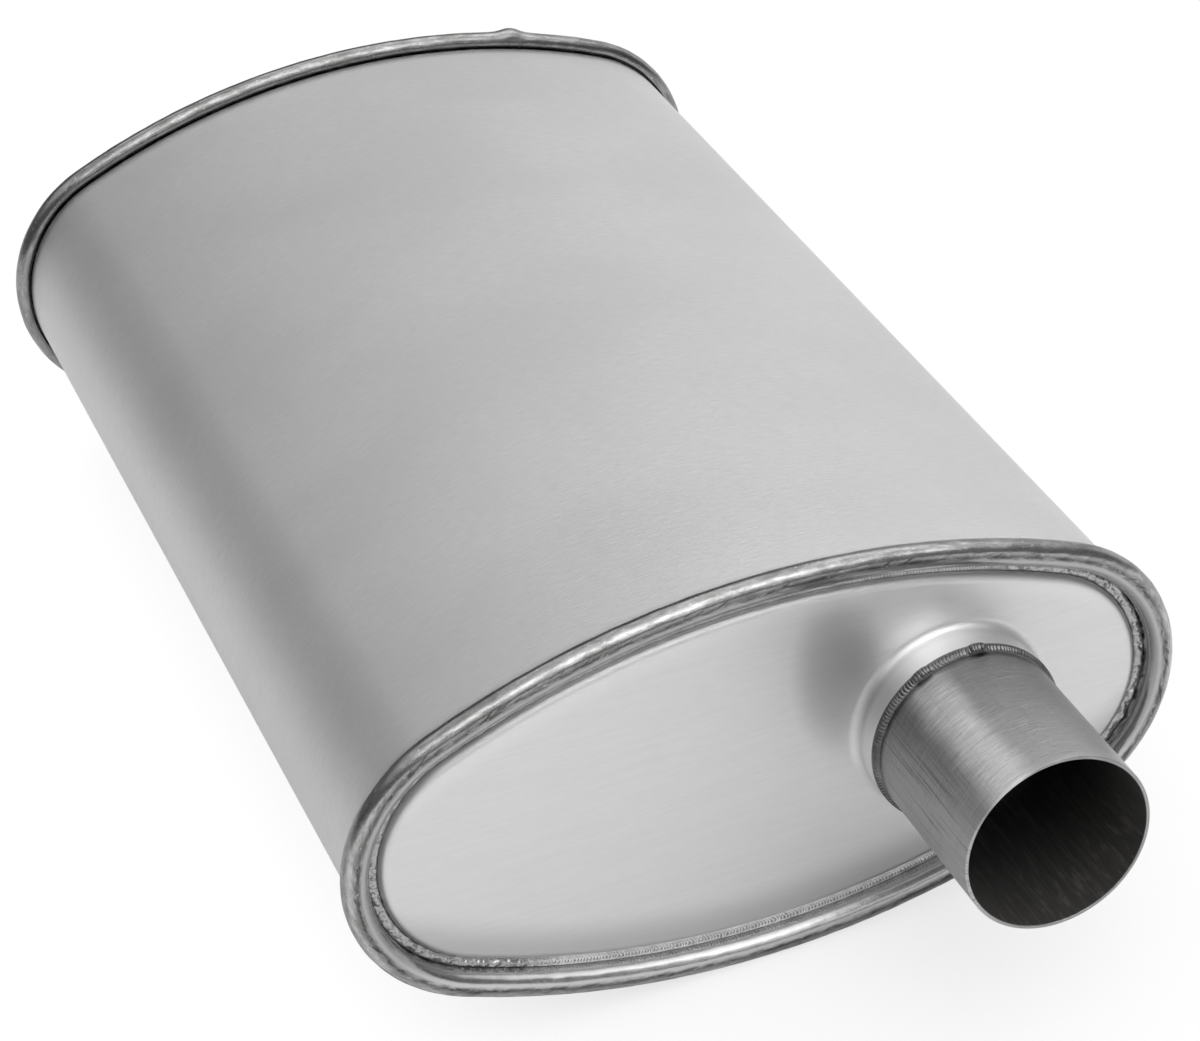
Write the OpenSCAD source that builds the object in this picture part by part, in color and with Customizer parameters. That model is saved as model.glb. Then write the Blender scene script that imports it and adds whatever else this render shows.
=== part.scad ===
// Oval exhaust muffler with recessed heads and a pipe at each end.
// The body's axis is Y: the inlet end is at -Y, the outlet end at +Y.
// The case lies on its two end seams, with the oval's long axis along X.

/* [Case] */
// Width of the case over its wall, along the oval's long axis
case_w = 279; // [255:1:310]
// Height of the case over its wall
case_h = 138; // [128:1:156]
// Radius of the oval's two narrow ends
side_r = 50.25; // [46:0.25:58]
// Length of the case over its two end seams
case_l = 432; // [390:1:500]
// Thickness of the wrapped shell
shell_t = 1.2; // [0.9:0.1:1.6]
// Thickness of the pressed heads
head_t = 1.5; // [1.1:0.1:1.8]

/* [End seams] */
// Radius of the open core of the rolled seam
roll_core = 1.15; // [0.8:0.05:1.8]
// How far the centre of the seam's outer bend stands out of the shell
roll_out = 1.2; // [0.8:0.1:2.2]
// Length of the shell's turned-in edge, from the middle of the seam
skirt_l = 3.6; // [3.2:0.1:3.8]
// Depth of the groove between the seam and the head's plate
groove_d = 4; // [4:0.1:5]
// Width of the groove at its floor
groove_w = 3.4; // [3:0.1:4.5]
// Outer radius of the shoulder where the plate turns down into the groove
shoulder_r = 3.5; // [2.5:0.1:4]
// Radius of the weld bead in the groove
head_bead_r = 2.6; // [2.2:0.1:2.8]
// How far the bead's centre lies below the groove's floor
head_bead_sink = 0.3; // [0.2:0.1:0.8]

/* [Pipes] */
// Outside diameter of the inlet and outlet pipes
pipe_d = 63.5; // [60:0.1:66]
// Wall of the pipes
pipe_t = 1.2; // [1:0.1:1.6]
// Distance from the seam's middle plane to the pipe's mouth
pipe_reach = 76.6; // [60:0.1:110]
// How much smaller the pipe's seat in the neck is, on diameter
seat_step = 1; // [0.8:0.1:1.4]
// Length of pipe behind the head, inside the case
pipe_tail = 32; // [28:1:45]
// Distance of the inlet pipe from the body's axis
inlet_x = 63.5; // [62.5:0.5:70]
// Height of the neck pressed out of the head around the pipe
neck_h = 11.7; // [9:0.1:15]
// Radius of the fillet at the foot of the neck
neck_fillet = 3.3; // [2:0.1:4]
// Radius of the weld bead around the pipe
pipe_bead_r = 2.6; // [2:0.1:3]
// How far the pipe bead's centre is sunk into the pipe and the neck
pipe_bead_sink = 0.6; // [0.3:0.1:0.9]

/* [Chambers] */
// Distance from the seam's middle plane to each baffle
chamber_l = 102; // [90:1:120]
// Thickness of the baffles
baffle_t = 1.2; // [1:0.1:1.6]
// Length of the baffle's flange along the shell
flange_l = 12; // [8:1:20]
// Outer radius of the bend between the baffle and its flange
flange_bend = 4; // [3:0.1:5]
// Height of the collars pressed out of the baffles around the tubes
collar_h = 9; // [6:0.5:14]
// Radius of the fillet at the foot of a collar
collar_fillet = 1.8; // [1:0.1:2]

/* [Tubes] */
// Outside diameter of the perforated tubes
tube_d = 50.8; // [46:0.1:52]
// Wall of the perforated tubes
tube_t = 1.2; // [1:0.1:1.5]
// Length of the widened tube end that holds the pipe's tail
socket_l = 20; // [12:1:24]
// Length of the taper between the socket and the tube
taper_l = 24; // [16:1:32]
// Length of tube that stands out past a baffle
tube_past = 30; // [20:1:45]
// Distance of the return tube from the body's axis
return_x = 63.5; // [62.5:0.5:72]
// Diameter of one perforation
perf_d = 6; // [4:0.5:8]
// Number of perforations in one ring
perf_round = 10; // [6:1:12]
// Distance between rings of perforations
perf_pitch = 20; // [14:1:26]
// Plain tube between a baffle and the first ring of perforations
perf_margin = 20; // [14:1:30]

/* [Weld details] */
// Radius of the longitudinal seam weld's bead
seam_bead_r = 3; // [2.4:0.1:3.6]
// How far the longitudinal bead stands out of the shell
seam_bead_h = 0.7; // [0.4:0.1:1.2]
// Distance from an end seam's middle plane to the end of the longitudinal bead
seam_bead_gap = 4.4; // [4.2:0.1:7]
// Number of tack welds around each tube at each baffle
tack_count = 3; // [2:1:6]
// Angle that one tack weld covers
tack_angle = 16; // [8:1:24]
// Radius of a tack weld's bead
tack_r = 1.8; // [1.4:0.1:2.2]

/* [Packing] */
// Clearance of the fibre packing to the shell, the baffles and the tubes
packing_gap = 0.4; // [0.2:0.1:0.9]

/* [Hidden] */
// Clearance between sheets that are rolled or slid together
fold_gap = 0.05;
// How far the oval's narrow ends reach over the cut line of its wide sides
arc_lap = 0.002;
// Overlap of the pieces that make up one sheet
lap = 1;
side_fn = 96;
top_fn = 300;
round_fn = 120;
bend_fn = 32;
perf_fn = 24;
// Number of steps in each arc of a plate's hidden edge
edge_steps = 32;

// The oval is four arcs: two narrow ends and two wide sides that meet tangentially.
arc_x = case_w / 2 - side_r;
top_r = (arc_x * arc_x + pow(case_h / 2, 2) - side_r * side_r) / (2 * (case_h / 2 - side_r));
arc_y = top_r - case_h / 2;
join_a = atan2(arc_y, arc_x);

// The end seam, in distances out of the shell and along the body's axis
roll_r = roll_core + head_t + fold_gap + shell_t;
skirt_in = 2 * shell_t + head_t + 2 * fold_gap;
roll_in = roll_r - skirt_in;
groove_in = skirt_in + groove_w;
plate_in = groove_in + shoulder_r;
seam_y = case_l / 2 - roll_r;
axis_h = case_h / 2 + roll_out + roll_r;

// The pipe's seat in the neck
pipe_r = pipe_d / 2;
seat_r = pipe_r - seat_step / 2;
neck_r = seat_r + fold_gap;
bead_top = pipe_bead_sink + sqrt(pow(pipe_bead_r, 2) - pow(pipe_bead_sink, 2));
seat_top = neck_h + bead_top + seat_step / 2;

// The baffles and tubes
baffle_y = seam_y - chamber_l;
flange_in = shell_t + fold_gap;
tube_r = tube_d / 2;
collar_r = tube_r + fold_gap;
socket_r = seat_r + fold_gap + tube_t;
socket_y = seam_y - pipe_tail + socket_l;
perf_span = 2 * (baffle_y - perf_margin);
perf_rings = floor(perf_span / perf_pitch) + 1;
big = case_w;

// Places children with their x along X, their y up and their z towards the inlet end.
module body_frame() {
    translate([0, 0, axis_h]) rotate([90, 0, 0]) children();
}

// Places children on the inlet seam's middle plane, their z pointing out of the case.
module inlet_end() {
    translate([0, -seam_y, 0]) body_frame() children();
}

// Places the same children on the outlet seam's middle plane.
module outlet_end() {
    mirror([0, 1, 0]) inlet_end() children();
}

// Points round the oval, shrunk by inset: each arc is sampled about its own centre.
function arc_points(centre, radius, from, to, steps) =
    [for (i = [0 : steps - 1]) centre + radius * [cos(from + (to - from) * i / steps),
                                                  sin(from + (to - from) * i / steps)]];

function oval_points(inset) = concat(
    arc_points([arc_x, 0], side_r - inset, -join_a, join_a, edge_steps),
    arc_points([0, -arc_y], top_r - inset, join_a, 180 - join_a, edge_steps),
    arc_points([-arc_x, 0], side_r - inset, 180 - join_a, 180 + join_a, edge_steps),
    arc_points([0, arc_y], top_r - inset, 180 + join_a, 360 - join_a, edge_steps));

// The wedge of one arc, from its centre out past the oval, with its edges on the lines
// through the centres of the neighbouring arcs
module wedge(points) {
    translate([0, 0, -case_l]) linear_extrude(2 * case_l) polygon(points);
}

// Carries a profile round the oval: x is the distance out of the shell, y runs along the axis.
module oval_sweep() {
    for (s = [0, 1]) mirror([s, 0, 0]) intersection() {
        translate([arc_x, 0, 0]) rotate_extrude($fn = side_fn) translate([side_r, 0]) children();
        wedge([[arc_x - arc_lap, 0], [2 * arc_x - arc_lap, -arc_y], [2 * case_w, -arc_y],
               [2 * case_w, arc_y], [2 * arc_x - arc_lap, arc_y]]);
    }
    for (s = [0, 1]) mirror([0, s, 0]) intersection() {
        translate([0, -arc_y, 0]) rotate_extrude($fn = top_fn) translate([top_r, 0]) children();
        wedge([[0, -arc_y], [2 * arc_x, arc_y], [-2 * arc_x, arc_y]]);
    }
}

// The section of the rolled seam's outline, two bends and the flat between them
module roll_2d(radius) {
    for (x = [roll_in, roll_out]) translate([x, 0]) circle(r = radius, $fn = bend_fn);
    translate([roll_in, -radius]) square([roll_out - roll_in, 2 * radius]);
}

// One layer of the rolled seam, left open below the flat as far as open_x
module roll_layer_2d(outer, inner, open_x) {
    difference() {
        roll_2d(outer);
        roll_2d(inner);
        translate([open_x - big, -big]) square(big);
    }
}

// The shell's edge: out round the seam, over its top and down into the groove
module shell_edge_2d() {
    roll_layer_2d(roll_r, roll_r - shell_t, 0);
    translate([-skirt_in, -skirt_l]) square([shell_t, skirt_l]);
}

// The whole shell in section, from seam to seam
module shell_2d() {
    wall_top = seam_y - roll_r + shell_t;
    translate([-shell_t, -wall_top]) square([shell_t, 2 * wall_top]);
    for (s = [0, 1]) mirror([0, s]) translate([0, seam_y]) shell_edge_2d();
}

// A quarter bend of sheet, centred on the origin, in the first quadrant
module bend_2d(outer, sheet) {
    intersection() {
        difference() {
            circle(r = outer, $fn = bend_fn);
            circle(r = outer - sheet, $fn = bend_fn);
        }
        square(outer);
    }
}

// The head's edge: shoulder, groove, upright flange and the layer inside the seam
module head_edge_2d() {
    curl_r = roll_r - shell_t - fold_gap;
    flange_x = skirt_in - shell_t - fold_gap;
    roll_layer_2d(curl_r, curl_r - head_t, roll_out);
    translate([-flange_x, -groove_d - head_t]) square([head_t, groove_d + head_t]);
    translate([-groove_in - head_t, -groove_d - head_t])
        square([groove_in + 2 * head_t - flange_x, head_t]);
    translate([-groove_in - head_t, -groove_d - head_t])
        square([head_t, groove_d + head_t - shoulder_r]);
    translate([-plate_in, -shoulder_r]) bend_2d(shoulder_r, head_t);
    translate([-plate_in - lap, -head_t]) square([lap, head_t]);
}

// A collar pressed out of a sheet: foot, fillet and upright wall, to revolve
module collar_2d(radius, sheet, fillet, height) {
    foot = radius + sheet + fillet;
    translate([radius, fillet]) square([sheet, height - fillet]);
    translate([foot, fillet]) rotate(180) bend_2d(fillet + sheet, sheet);
    translate([foot, -sheet]) square([lap, sheet]);
}

// How far a pressed collar's foot reaches from its axis
function collar_foot(radius, sheet, fillet) = radius + sheet + fillet;

// The pressed head: plate, edge and the neck around the pipe
module head(x) {
    foot = collar_foot(neck_r, head_t, neck_fillet);
    difference() {
        translate([0, 0, -head_t]) linear_extrude(head_t) polygon(oval_points(plate_in + lap / 2));
        translate([x, 0, -big / 2]) cylinder(r = foot + lap / 2, h = big, $fn = round_fn);
    }
    oval_sweep() head_edge_2d();
    translate([x, 0, 0]) rotate_extrude($fn = round_fn) collar_2d(neck_r, head_t, neck_fillet, neck_h);
}

// The weld bead that closes the groove, fitted to the shell's edge and the head
module head_weld() {
    oval_sweep() intersection() {
        translate([-skirt_in - groove_w / 2, -groove_d - head_bead_sink])
            circle(r = head_bead_r, $fn = bend_fn);
        translate([-groove_in, -groove_d]) square([groove_w, head_bead_r]);
    }
}

// A pipe with its mouth outside, and the slightly smaller seat inside the neck
module pipe(x) {
    translate([x, 0, 0]) rotate_extrude($fn = round_fn) {
        translate([pipe_r - pipe_t, seat_top]) square([pipe_t, pipe_reach - seat_top]);
        translate([seat_r - pipe_t, -pipe_tail]) square([pipe_t, pipe_tail + seat_top]);
    }
}

// A fillet bead between a tube and the lip of the collar around it
module bead_2d(radius, bead_r, sink, lip) {
    intersection() {
        translate([radius - sink, lip + sink]) circle(r = bead_r, $fn = bend_fn);
        translate([radius, lip]) square(2 * bead_r);
    }
}

// The weld bead around a pipe, on the neck's lip
module pipe_weld(x) {
    translate([x, 0, 0]) rotate_extrude($fn = round_fn)
        bead_2d(seat_r, pipe_bead_r, pipe_bead_sink, neck_h);
}

// Positions of the three tubes across the case
function tube_places() = [inlet_x, 0, -return_x];

// A flanged baffle with a collar for each tube; its flange and collars face the near head.
module baffle() {
    foot = collar_foot(collar_r, baffle_t, collar_fillet);
    difference() {
        translate([0, 0, -baffle_t]) linear_extrude(baffle_t)
            polygon(oval_points(flange_in + flange_bend + lap / 2));
        for (x = tube_places()) translate([x, 0, -big / 2])
            cylinder(r = foot + lap / 2, h = big, $fn = round_fn);
    }
    oval_sweep() {
        translate([-flange_in - baffle_t, flange_bend - baffle_t])
            square([baffle_t, flange_l - flange_bend]);
        translate([-flange_in - flange_bend, flange_bend - baffle_t]) rotate(-90)
            bend_2d(flange_bend, baffle_t);
        translate([-flange_in - flange_bend - lap, -baffle_t]) square([lap, baffle_t]);
    }
    for (x = tube_places()) translate([x, 0, 0]) rotate_extrude($fn = round_fn)
        collar_2d(collar_r, baffle_t, collar_fillet, collar_h);
}

// The tack welds that hold one tube in a baffle's collar
module tube_tacks(x) {
    translate([x, 0, baffle_y]) for (i = [0 : tack_count - 1])
        rotate_extrude(angle = tack_angle, start = 90 + i * 360 / tack_count - tack_angle / 2, $fn = round_fn)
            bead_2d(tube_r, tack_r, pipe_bead_sink, collar_h);
}

// Rings of perforations in a tube's wall, every other ring turned by half a step
module perforations() {
    step = 360 / perf_round;
    first = -(perf_rings - 1) * perf_pitch / 2;
    for (ring = [0 : perf_rings - 1], i = [0 : perf_round - 1])
        translate([0, 0, first + ring * perf_pitch]) rotate([0, 0, (i + ring % 2 / 2) * step])
            translate([tube_r - 2 * tube_t, 0, 0]) rotate([0, 90, 0])
                cylinder(d = perf_d, h = 3 * tube_t, $fn = perf_fn);
}

// A perforated tube with a socket for the pipe's tail at its far end
module socket_tube(x) {
    taper_end = socket_y - socket_l - taper_l;
    translate([x, 0, 0]) difference() {
        rotate_extrude($fn = round_fn) polygon([
            [tube_r - tube_t, -baffle_y - tube_past], [tube_r, -baffle_y - tube_past],
            [tube_r, taper_end], [socket_r, taper_end + taper_l],
            [socket_r, taper_end + taper_l + socket_l],
            [socket_r - tube_t, taper_end + taper_l + socket_l],
            [socket_r - tube_t, taper_end + taper_l], [tube_r - tube_t, taper_end]]);
        perforations();
    }
}

module shell() {
    color("silver") body_frame() oval_sweep() shell_2d();
}

// The bead is flat where it lies on the shell, which curves away from it by microns only.
module shell_seam_weld() {
    length = 2 * (seam_y - seam_bead_gap);
    color("darkgray") body_frame() translate([0, -case_h / 2, -length / 2])
        linear_extrude(length) intersection() {
            translate([0, seam_bead_r - seam_bead_h]) circle(r = seam_bead_r, $fn = round_fn);
            translate([-seam_bead_r, -seam_bead_r]) square([2 * seam_bead_r, seam_bead_r]);
        }
}

module inlet_head() {
    color("lightgray") inlet_end() head(inlet_x);
}

module outlet_head() {
    color("lightgray") outlet_end() head(0);
}

module inlet_head_weld() {
    color("gray") inlet_end() head_weld();
}

module outlet_head_weld() {
    color("gray") outlet_end() head_weld();
}

module inlet_pipe() {
    color("silver") inlet_end() pipe(inlet_x);
}

module outlet_pipe() {
    color("silver") outlet_end() pipe(0);
}

module inlet_pipe_weld() {
    color("dimgray") inlet_end() pipe_weld(inlet_x);
}

module outlet_pipe_weld() {
    color("dimgray") outlet_end() pipe_weld(0);
}

module inlet_baffle() {
    color("darkgray") translate([0, -baffle_y, 0]) body_frame() baffle();
}

module outlet_baffle() {
    color("darkgray") mirror([0, 1, 0]) translate([0, -baffle_y, 0]) body_frame() baffle();
}

module inlet_tube_front_tacks() {
    color("dimgray") body_frame() tube_tacks(inlet_x);
}

module inlet_tube_rear_tacks() {
    color("dimgray") mirror([0, 1, 0]) body_frame() tube_tacks(inlet_x);
}

module return_tube_front_tacks() {
    color("dimgray") body_frame() tube_tacks(-return_x);
}

module return_tube_rear_tacks() {
    color("dimgray") mirror([0, 1, 0]) body_frame() tube_tacks(-return_x);
}

module outlet_tube_front_tacks() {
    color("dimgray") body_frame() tube_tacks(0);
}

module outlet_tube_rear_tacks() {
    color("dimgray") mirror([0, 1, 0]) body_frame() tube_tacks(0);
}

module inlet_tube() {
    color("gainsboro") body_frame() socket_tube(inlet_x);
}

module outlet_tube() {
    color("gainsboro") mirror([0, 1, 0]) body_frame() socket_tube(0);
}

module return_tube() {
    color("gainsboro") body_frame() translate([-return_x, 0, 0]) difference() {
        translate([0, 0, -baffle_y - tube_past])
            cylinder(r = tube_r, h = 2 * (baffle_y + tube_past), $fn = round_fn);
        translate([0, 0, -big - baffle_y])
            cylinder(r = tube_r - tube_t, h = 2 * (big + baffle_y), $fn = round_fn);
        perforations();
    }
}

module fibre_packing() {
    half = baffle_y - baffle_t - packing_gap;
    color("khaki") body_frame() difference() {
        translate([0, 0, -half]) linear_extrude(2 * half) polygon(oval_points(shell_t + packing_gap));
        for (x = tube_places()) translate([x, 0, -big])
            cylinder(r = tube_r + packing_gap, h = 2 * big, $fn = round_fn);
    }
}

shell();
shell_seam_weld();
inlet_head();
outlet_head();
inlet_head_weld();
outlet_head_weld();
inlet_pipe();
outlet_pipe();
inlet_pipe_weld();
outlet_pipe_weld();
inlet_baffle();
outlet_baffle();
inlet_tube();
outlet_tube();
return_tube();
inlet_tube_front_tacks();
inlet_tube_rear_tacks();
return_tube_front_tacks();
return_tube_rear_tacks();
outlet_tube_front_tacks();
outlet_tube_rear_tacks();
fibre_packing();
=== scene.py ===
import math

import bmesh
import bpy
import numpy as np
from mathutils import Matrix, Vector


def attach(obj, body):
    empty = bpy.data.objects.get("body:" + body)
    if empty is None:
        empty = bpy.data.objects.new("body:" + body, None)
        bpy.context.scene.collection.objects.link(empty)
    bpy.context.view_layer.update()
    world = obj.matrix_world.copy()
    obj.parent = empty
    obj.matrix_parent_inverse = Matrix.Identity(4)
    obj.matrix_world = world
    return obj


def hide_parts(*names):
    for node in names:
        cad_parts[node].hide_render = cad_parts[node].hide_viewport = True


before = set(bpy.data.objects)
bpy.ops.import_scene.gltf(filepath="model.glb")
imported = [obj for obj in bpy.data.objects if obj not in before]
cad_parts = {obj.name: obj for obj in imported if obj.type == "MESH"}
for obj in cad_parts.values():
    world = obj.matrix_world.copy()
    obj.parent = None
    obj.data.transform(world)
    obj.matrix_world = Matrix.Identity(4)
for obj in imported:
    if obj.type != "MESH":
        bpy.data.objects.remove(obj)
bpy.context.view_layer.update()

MM = 0.001

# The case, in millimetres, as in the solids
CASE_W, CASE_H, SIDE_R = 279.0, 138.0, 50.25
SHELL_T, HEAD_T = 1.2, 1.5
ROLL_R, ROLL_IN, ROLL_OUT = 3.9, -0.1, 1.2
SKIRT_IN, SKIRT_L = 4.0, 3.6
GROOVE_D, GROOVE_IN, SHOULDER_R = 4.0, 7.4, 3.5
# The slot between the case's wall and the back of the roll; its darkness is painted shade in the case's
# finish
SLOT_W, SLOT_D = 0.75, 1.0
# Where the plain wall begins beside the seam, and the gap between the sheets of the fold
WALL_FROM, FOLD_GAP = ROLL_R + 0.8, 0.05
PLATE_IN = GROOVE_IN + SHOULDER_R
SEAM_Y, AXIS_H = 212.1, 74.1
ARC_X = CASE_W / 2 - SIDE_R
TOP_R = (ARC_X ** 2 + (CASE_H / 2) ** 2 - SIDE_R ** 2) / (2 * (CASE_H / 2 - SIDE_R))
ARC_Z = TOP_R - CASE_H / 2
JOIN = math.atan2(ARC_Z, ARC_X)

# The pipes and the necks around them
PIPE_R, PIPE_T, PIPE_REACH, PIPE_TAIL = 31.75, 1.2, 76.6, 32.0
SEAT_R, SEAT_TOP = 31.25, 15.33
NECK_R, NECK_H, NECK_FILLET = 31.3, 11.7, 3.3
INLET_X = 63.5
# The rounding of cut edges, and where a pipe's own map begins along its section
EDGE_R, MAP_START = 0.3, -50.0

# The weld beads, and how far their centres lie below the sheet
BEAD_R, HEAD_BEAD_SINK, PIPE_BEAD_SINK = 2.6, 0.3, 0.6
SEAM_BEAD_R, SEAM_BEAD_PROUD, SEAM_BEAD_END = 3.0, 0.7, 4.4

# The mound where the sheet's lap is rolled into the far seam
LAP_X, LAP_SIZE, LAP_WIDTH = 73.0, 1.7, 5.0

# Places along one turn of the case, the pipes and the beads
OVAL_STEPS, PIPE_STEPS = 480, 360
HEAD_BEAD_STEPS, PIPE_BEAD_STEPS, SEAM_BEAD_STEPS = 3700, 1200, 2200


# Node graphs

class Term:
    """One socket in an expression: arithmetic on it adds Math nodes to its graph."""

    def __init__(self, graph, socket):
        self.graph, self.socket = graph, socket

    def math(self, operation, *others):
        return self.graph.node("ShaderNodeMath", {"operation": operation},
                               dict(enumerate((self,) + others)))

    def swapped(self, operation, other):
        return self.graph.node("ShaderNodeMath", {"operation": operation}, {0: other, 1: self})

    def __add__(self, other):
        return self.math("ADD", other)

    def __sub__(self, other):
        return self.math("SUBTRACT", other)

    def __mul__(self, other):
        return self.math("MULTIPLY", other)

    def __truediv__(self, other):
        return self.math("DIVIDE", other)

    def __pow__(self, other):
        return self.math("POWER", other)

    def __radd__(self, other):
        return self.swapped("ADD", other)

    def __rsub__(self, other):
        return self.swapped("SUBTRACT", other)

    def __rmul__(self, other):
        return self.swapped("MULTIPLY", other)

    def __rtruediv__(self, other):
        return self.swapped("DIVIDE", other)

    def __neg__(self):
        return self.math("MULTIPLY", -1.0)

    def abs(self):
        return self.math("ABSOLUTE")

    def clamp(self):
        return self.math("MAXIMUM", 0.0).math("MINIMUM", 1.0)

    def ramp(self, low, high):
        """0 at low, 1 at high, eased at both ends; low may be above high."""
        t = ((self - low) / (high - low)).clamp()
        return t * t * (3.0 - 2.0 * t)

    def bump_at(self, centre, width):
        """1 at centre, falling to 0 a width away on both sides."""
        return (self - centre).abs().ramp(width, 0.0)


class Graph:
    """A node tree that is filled with single calls."""

    def __init__(self, tree):
        self.tree = tree

    def node(self, kind, settings=None, inputs=None, output=0):
        made = self.tree.nodes.new(kind)
        for key, value in (settings or {}).items():
            setattr(made, key, value)
        self.feed(made, inputs or {})
        return made if output is None else Term(self, made.outputs[output])

    def feed(self, made, inputs):
        """Links or sets the sockets of a node."""
        for key, value in inputs.items():
            if isinstance(value, Term):
                self.tree.links.new(value.socket, made.inputs[key])
            else:
                made.inputs[key].default_value = value

    def parts(self, vector):
        """The x, y and z of a vector."""
        split = self.node("ShaderNodeSeparateXYZ", inputs={0: vector}, output=None)
        return [Term(self, socket) for socket in split.outputs]

    def vector(self, x, y, z):
        return self.node("ShaderNodeCombineXYZ", inputs={0: x, 1: y, 2: z})

    def join(self, operation, a, b):
        """Vector Math on two vectors, or a vector and a number for SCALE."""
        inputs = {0: a, "Scale": b} if operation == "SCALE" else {0: a, 1: b}
        return self.node("ShaderNodeVectorMath", {"operation": operation}, inputs, "Vector")

    def noise(self, place, scale, detail=3.0, rough=0.5):
        """Fractal noise from 0 to 1 at a place."""
        return self.node("ShaderNodeTexNoise", {"noise_dimensions": "3D"},
                         {"Vector": place, "Scale": scale, "Detail": detail, "Roughness": rough}, "Fac")

    def blend(self, factor, a, b):
        """A colour between a and b."""
        return self.node("ShaderNodeMix", {"data_type": "RGBA"}, {0: factor, 6: a, 7: b}, 2)


def blank_graph(owner):
    """The emptied node graph of a material or of the world."""
    owner.use_nodes = True
    owner.node_tree.nodes.clear()
    return Graph(owner.node_tree)


def grey(level, warmth=0.0):
    return (level * (1 + warmth), level, level * (1 - warmth), 1.0)


def add_object(name, data):
    made = bpy.data.objects.new(name, data)
    bpy.context.scene.collection.objects.link(made)
    return made


# Sheet and weld sweeps

def outline(count):
    """Points round the oval wall with their outward normals, evenly spaced from the bottom's middle."""
    arcs = [((0, ARC_Z), TOP_R, -math.pi / 2, -JOIN), ((ARC_X, 0), SIDE_R, -JOIN, JOIN),
            ((0, -ARC_Z), TOP_R, JOIN, math.pi - JOIN),
            ((-ARC_X, 0), SIDE_R, math.pi - JOIN, math.pi + JOIN),
            ((0, ARC_Z), TOP_R, math.pi + JOIN, 1.5 * math.pi)]
    lengths = [radius * (end - start) for _, radius, start, end in arcs]
    total = sum(lengths)
    points, normals, along = [], [], []
    for i in range(count):
        s = left = total * i / count
        for (centre, radius, start, _), length in zip(arcs, lengths):
            if left <= length:
                break
            left -= length
        angle = start + left / radius
        normals.append((math.cos(angle), math.sin(angle)))
        points.append((centre[0] + radius * math.cos(angle), centre[1] + radius * math.sin(angle)))
        along.append(s)
    return np.array(points), np.array(normals), np.array(along), total


def arc(centre, radius, start, end, steps):
    """Points on an arc, angles in degrees, both ends included."""
    angles = np.radians(np.linspace(start, end, steps + 1))
    return [(centre[0] + radius * math.cos(a), centre[1] + radius * math.sin(a)) for a in angles]


def line(start, end, steps):
    """Points on a line, both ends included."""
    return [tuple(np.array(start) + (np.array(end) - start) * i / steps) for i in range(steps + 1)]


def chain(*runs):
    """Joins runs of points into one, without the doubles where they meet."""
    points = []
    for run in runs:
        for p in run:
            if not points or math.dist(points[-1], p) > 1e-6:
                points.append(tuple(map(float, p)))
    if math.dist(points[0], points[-1]) < 1e-6:
        points.pop()
    return np.array(points)


def girth_of(points):
    """The distance from the first point to each one, along the section."""
    return np.concatenate([[0], np.cumsum(np.linalg.norm(np.diff(points, axis=0), axis=1))])


def facing_of(points):
    """Unit normals of a closed section, pointing away from its sheet."""
    ahead, behind = np.roll(points, -1, 0), np.roll(points, 1, 0)
    tangent = ahead - behind
    normal = np.stack([tangent[:, 1], -tangent[:, 0]], 1)
    normal /= np.linalg.norm(normal, axis=1, keepdims=True)
    area = np.sum(points[:, 0] * ahead[:, 1] - ahead[:, 0] * points[:, 1])
    return normal if area > 0 else -normal


def loop_mesh(name, places, closed, attributes):
    """A chain of edges that carries named values for the sweep."""
    mesh = bpy.data.meshes.new(name)
    count = len(places)
    edges = [(i, (i + 1) % count) for i in range(count if closed else count - 1)]
    mesh.from_pydata([tuple(p) for p in places], edges, [])
    for key, values in attributes.items():
        values = np.asarray(values, float)
        kind = "FLOAT_VECTOR" if values.ndim == 2 else "FLOAT"
        layer = mesh.attributes.new(key, kind, "POINT")
        layer.data.foreach_set("vector" if kind == "FLOAT_VECTOR" else "value", values.ravel())
    return add_object(name, mesh)


def path_of(name, foot, out, rise, along, closed=True, rough=None, lump=None):
    """The path of a sweep: where the section's origin goes, and its two directions there."""
    count = len(foot)
    return loop_mesh(name, foot, closed, {
        "foot": foot, "out": out, "rise": rise, "along": along,
        "rough": np.zeros(count) if rough is None else rough,
        "lump": np.zeros(count) if lump is None else lump})


def section_of(name, points, marked, crown, girth):
    """The section of a sweep in millimetres, with the weights of its surface detail."""
    facing = facing_of(points)
    flat = np.zeros((len(points), 1))
    return loop_mesh(name, np.hstack([points * MM, flat]), True, {
        "section": np.hstack([points * MM, flat]), "facing": np.hstack([facing, flat]),
        "marked": marked, "crown": crown, "girth": np.asarray(girth) * MM})


def bead_of(name, top, base, power=1.0):
    """The section of a weld bead: its round top, which carries the ripples, and its base."""
    points = chain(top, base)
    crown = np.zeros(len(points))
    crown[:len(top)] = np.sin(np.linspace(0, math.pi, len(top))) ** power
    return section_of(name + "_section", points, np.zeros(len(points)), crown, girth_of(points))


def round_oval(count, y, rise):
    """Round the case's wall at y: the places, and the path's foot and its two directions."""
    places, normals, along, length = outline(count)
    level = np.zeros(count)
    foot = np.stack([places[:, 0], level + y, places[:, 1] + AXIS_H], 1) * MM
    out = np.stack([normals[:, 0], level, normals[:, 1]], 1)
    return places, (foot, out, np.tile([0.0, float(rise), 0.0], (count, 1)), along * MM), length


SWEEP_INPUTS = {
    "Section": "NodeSocketObject", "Finish": "NodeSocketMaterial",
    "Mark Depth": "NodeSocketFloat", "Mark Length": "NodeSocketFloat", "Mark Width": "NodeSocketFloat",
    "Ripple Height": "NodeSocketFloat", "Ripple Pitch": "NodeSocketFloat",
    "Ripple Bow": "NodeSocketFloat", "Blob Height": "NodeSocketFloat",
    "Blob Size": "NodeSocketFloat", "Seed": "NodeSocketFloat"}


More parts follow.
